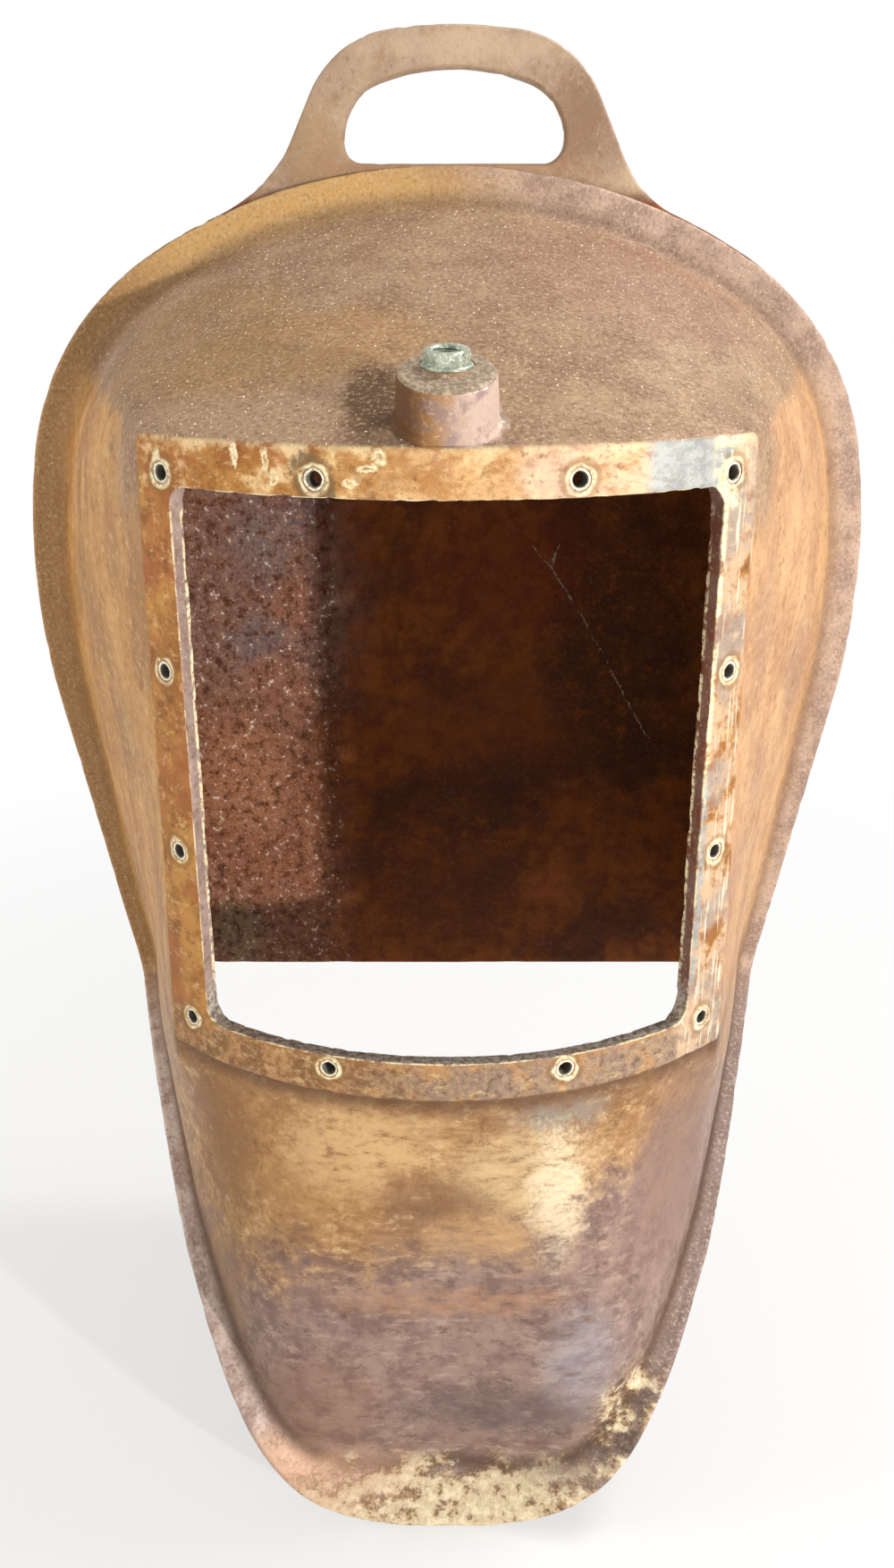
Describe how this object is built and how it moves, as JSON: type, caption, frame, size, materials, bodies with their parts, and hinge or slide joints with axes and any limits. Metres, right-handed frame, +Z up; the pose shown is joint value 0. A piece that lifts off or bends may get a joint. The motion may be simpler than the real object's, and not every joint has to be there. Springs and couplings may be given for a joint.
{
  "type": "shallow water diving helmet",
  "caption": "Open-bottomed shallow water diving helmet: cast front with a wide curved window opening and chest apron, flat back plate with lifting handle, air inlet with non-return valve.",
  "frame": {"origin": "middle of the back plate's bottom edge, on the face that the front casting is screwed to", "axes": "+X to the viewer's right when facing the window, +Y out of the back of the plate (the window looks along -Y), +Z up"},
  "size_m": [0.3706, 0.215, 0.5656],
  "materials": {
    "front_casting": "cast bronze with a mottled brown, tan and orange patina, rubbed bare in places",
    "back_casting": "cast bronze with a rough reddish brown and purplish grey patina",
    "packing": "dark, pressed and waterlogged",
    "joint_screws": "tarnished",
    "window_bushes": "dull brass with pale deposits",
    "inlet_fitting": "greenish silver, worn bright on the rim",
    "valve_metal": "turned and tarnished",
    "spring_wire": "drawn wire"
  },
  "bodies": {
    "helmet": {"front_shell": "front_casting", "back_plate": "back_casting", "flange_gasket": "packing", "flange_screws": "joint_screws", "window_screw_bushes": "window_bushes", "air_inlet_bush": "inlet_fitting", "air_inlet_washer": "inlet_fitting", "valve_seat": "valve_metal", "valve_spring": "spring_wire", "valve_cage": "valve_metal"},
    "valve": {"valve_disc": "valve_metal"}
  },
  "joints": [
    {"name": "valve_lift", "type": "slide", "parent": "helmet", "child": "valve", "axis": [0, 0.1736, -0.9848], "range_m": [0, 0.004], "stiffness_N_per_m": 100, "springref_m": -0.004, "deforming": ["valve_spring"]}
  ]
}
